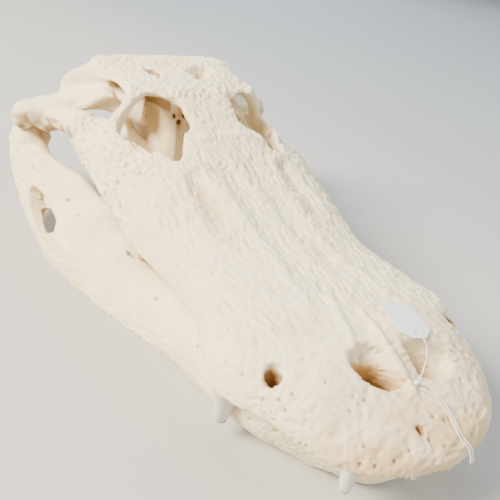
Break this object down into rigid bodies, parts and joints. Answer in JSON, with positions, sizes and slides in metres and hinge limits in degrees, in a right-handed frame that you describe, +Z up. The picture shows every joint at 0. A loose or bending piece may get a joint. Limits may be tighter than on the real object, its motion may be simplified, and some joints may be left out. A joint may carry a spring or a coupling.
{
  "type": "alligator skull",
  "caption": "Life-size bleached alligator skull, jaws closed, lying on its lower jaw, with a small paper tag tied by a thread between the nostrils.",
  "frame": {"origin": "bottom centre of the box round the bones, on the floor under the skull", "axes": "-Y out of the snout tip, +X to the animal's left, +Z up"},
  "size_m": [0.3142, 0.5817, 0.175],
  "materials": {
    "snout_bone": "matt bleached bone, cream, ridged and pitted",
    "smooth_bone": "matt bleached bone, smooth to finely striated",
    "inner_bone": "matt bone, yellowish in the hollows",
    "paper": "matt white card",
    "cotton": "white twisted cotton"
  },
  "bodies": {
    "root": {"premaxilla": "snout_bone", "nasal": "snout_bone", "frontal": "snout_bone", "maxilla_right": "snout_bone", "maxilla_left": "snout_bone", "skull_table": "smooth_bone", "cheek_right": "smooth_bone", "cheek_left": "smooth_bone", "postorbital_bar_right": "smooth_bone", "postorbital_bar_left": "smooth_bone", "quadrate_right": "smooth_bone", "quadrate_left": "smooth_bone", "dentary_right": "smooth_bone", "dentary_left": "smooth_bone", "surangular_right": "smooth_bone", "surangular_left": "smooth_bone", "angular_right": "smooth_bone", "angular_left": "smooth_bone", "braincase": "inner_bone", "palate": "inner_bone", "tag": "paper", "thread_lead": "cotton", "thread_knot": "cotton", "thread_tail_1": "cotton", "thread_tail_2": "cotton"}
  },
  "joints": []
}
